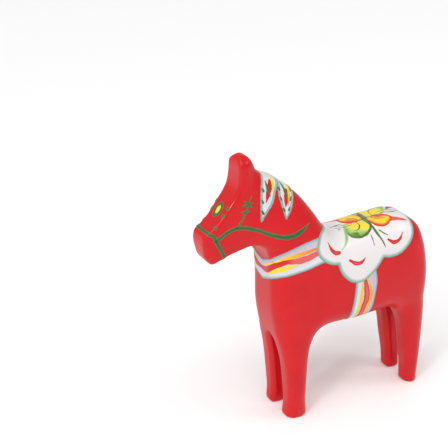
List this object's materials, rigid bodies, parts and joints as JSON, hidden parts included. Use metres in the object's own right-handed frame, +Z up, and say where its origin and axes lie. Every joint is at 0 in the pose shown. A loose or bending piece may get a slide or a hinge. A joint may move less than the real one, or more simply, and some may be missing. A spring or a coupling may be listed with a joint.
{
  "type": "painted wooden horse figurine",
  "caption": "Small red wooden folk-art toy horse, carved in one piece, with a painted white saddle, flower, harness bands and mane.",
  "frame": {"origin": "on the floor, under the centre of the bounding box", "axes": "+Z up, -Y towards the nose, +X towards the left flank"},
  "size_m": [0.0288, 0.0869, 0.1],
  "materials": {
    "bare_pine": "smooth, unpainted",
    "glossy_red_paint": "gloss, varnished",
    "white_paint": "gloss, varnished",
    "mint_paint": "gloss, varnished",
    "red_stroke_paint": "gloss, varnished",
    "yellow_green_paint": "gloss, varnished",
    "orange_paint": "gloss, varnished",
    "green_paint": "gloss, varnished",
    "light_green_paint": "gloss, varnished",
    "lilac_white_paint": "gloss, varnished",
    "blue_grey_paint": "gloss, varnished",
    "yellow_paint": "gloss, varnished"
  },
  "bodies": {
    "root": {"pine_core": "bare_pine", "red_base_coat": "glossy_red_paint", "saddle_white_ground": "white_paint", "saddle_mint_border": "mint_paint", "saddle_red_crescents": "red_stroke_paint", "flower_yellow_green_petals": "yellow_green_paint", "flower_orange_petals": "orange_paint", "flower_leaf_strokes": "green_paint", "flower_green_stems": "light_green_paint", "breast_band_ground": "lilac_white_paint", "breast_band_edges": "blue_grey_paint", "breast_band_red_wave": "red_stroke_paint", "breast_band_yellow_strokes": "yellow_paint", "girth_band_ground": "lilac_white_paint", "girth_band_edges": "blue_grey_paint", "girth_band_red_stripe": "red_stroke_paint", "girth_band_yellow_stripes": "yellow_paint", "mane_lilac_plumes": "lilac_white_paint", "mane_mint_edges": "mint_paint", "mane_yellow_strokes": "yellow_paint", "mane_green_strokes": "green_paint", "noseband": "green_paint", "cheek_straps": "green_paint", "reins": "green_paint", "cheek_leaf_marks": "green_paint", "forehead_rosette_ring": "green_paint", "forehead_rosette_centre": "yellow_paint", "forehead_dots": "green_paint"}
  },
  "joints": []
}
